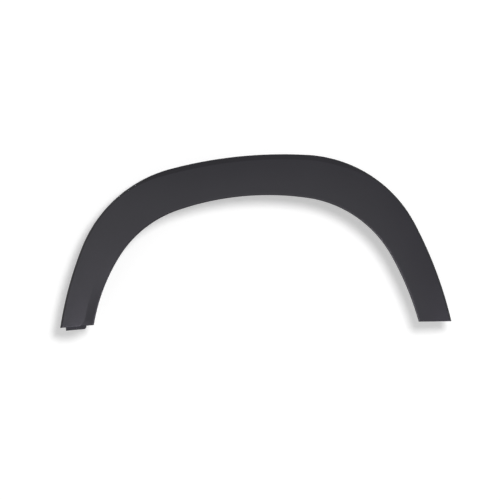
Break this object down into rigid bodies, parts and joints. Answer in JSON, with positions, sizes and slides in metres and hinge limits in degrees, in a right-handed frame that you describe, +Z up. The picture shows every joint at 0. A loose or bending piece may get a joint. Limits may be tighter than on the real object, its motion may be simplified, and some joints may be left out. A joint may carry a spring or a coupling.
{
  "type": "wheel arch trim",
  "caption": "Black moulded trim that covers the edge of a car's wheel opening, with a rounded inner edge, a slanted outer lip, a tongue on the left foot and push-in clips with sealing rings.",
  "frame": {"origin": "the datum pin at the crown, where its axis meets the outer skin of the body panel", "axes": "+X along the car, towards the right foot as seen from outside; +Y into the car, along the pins and clips; +Z up"},
  "size_m": [0.91, 0.0436, 0.4108],
  "materials": {
    "black_polypropylene": "fine moulded grain, satin",
    "natural_nylon": "smooth as moulded",
    "grey_foam": "closed-cell foam, matte"
  },
  "bodies": {
    "root": {"moulding": "black_polypropylene", "clip_1": "natural_nylon", "clip_2": "natural_nylon", "clip_3": "natural_nylon", "clip_4": "natural_nylon", "clip_5": "natural_nylon", "clip_6": "natural_nylon", "clip_7": "natural_nylon", "clip_8": "natural_nylon", "clip_9": "natural_nylon", "clip_10": "natural_nylon", "seal_ring_1": "grey_foam", "seal_ring_2": "grey_foam", "seal_ring_3": "grey_foam", "seal_ring_4": "grey_foam", "seal_ring_5": "grey_foam", "seal_ring_6": "grey_foam", "seal_ring_7": "grey_foam", "seal_ring_8": "grey_foam", "seal_ring_9": "grey_foam", "seal_ring_10": "grey_foam"}
  },
  "joints": []
}
